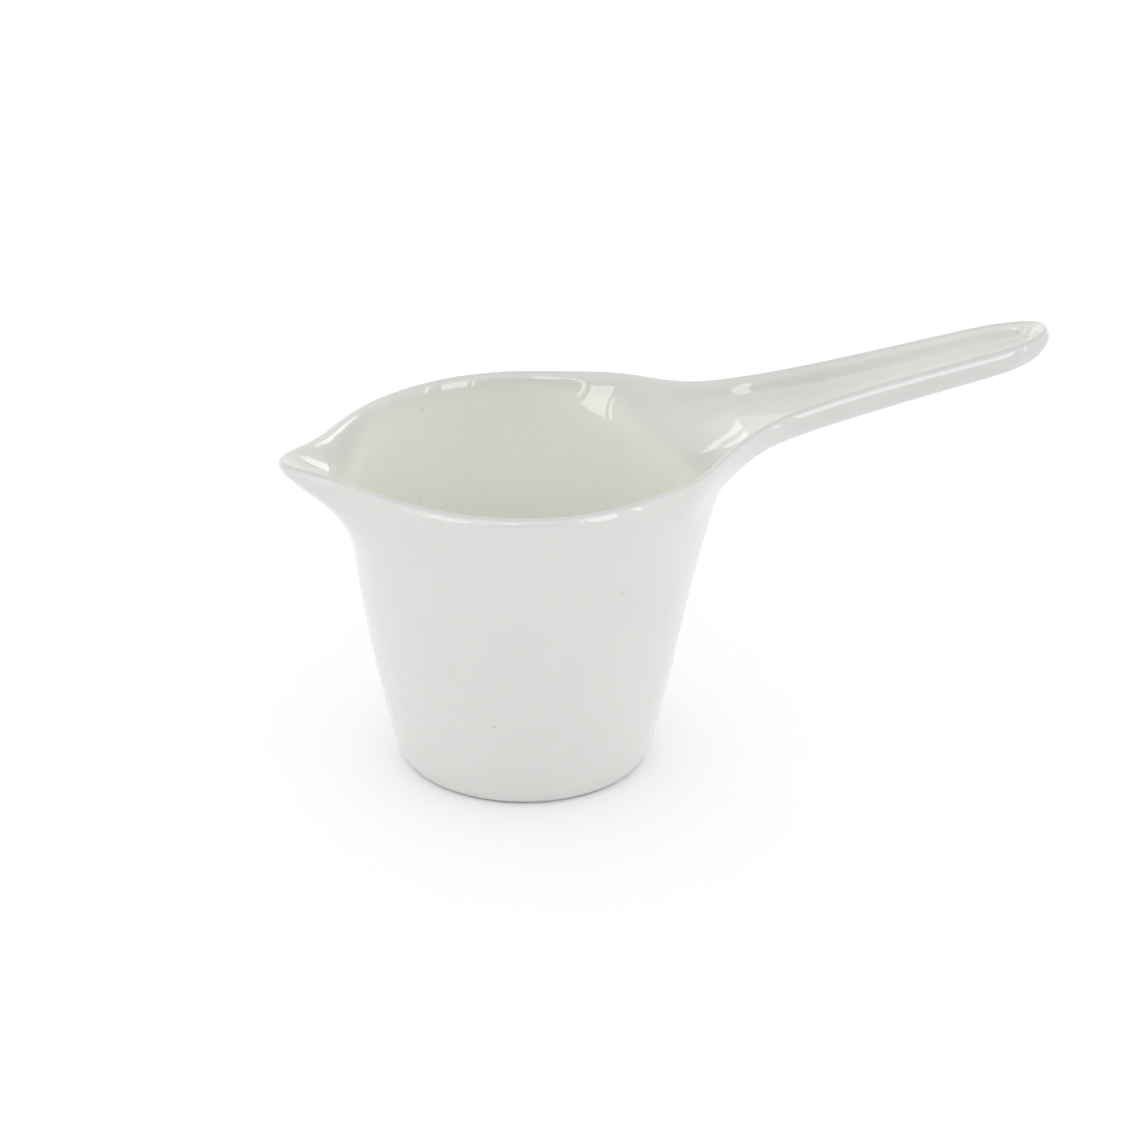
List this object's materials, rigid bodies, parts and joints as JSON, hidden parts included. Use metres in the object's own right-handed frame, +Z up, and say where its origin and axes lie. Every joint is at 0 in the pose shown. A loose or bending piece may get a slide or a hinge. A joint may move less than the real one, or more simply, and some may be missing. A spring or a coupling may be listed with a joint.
{
  "type": "handled evaporating dish",
  "caption": "Deep tapered glazed porcelain cup with a pointed pouring beak on one side and a long open-channel handle rising on the other.",
  "frame": {"origin": "centre of the flat base face, on the surface that the dish stands on", "axes": "+Z up through the middle of the cup, +X along the handle away from the cup, so that the beak points to -X"},
  "size_m": [0.1608, 0.0738, 0.08],
  "materials": {
    "porcelain_glaze": "glossy clear glaze over off-white porcelain"
  },
  "bodies": {
    "root": {"cup": "porcelain_glaze", "spout": "porcelain_glaze", "handle": "porcelain_glaze"}
  },
  "joints": []
}
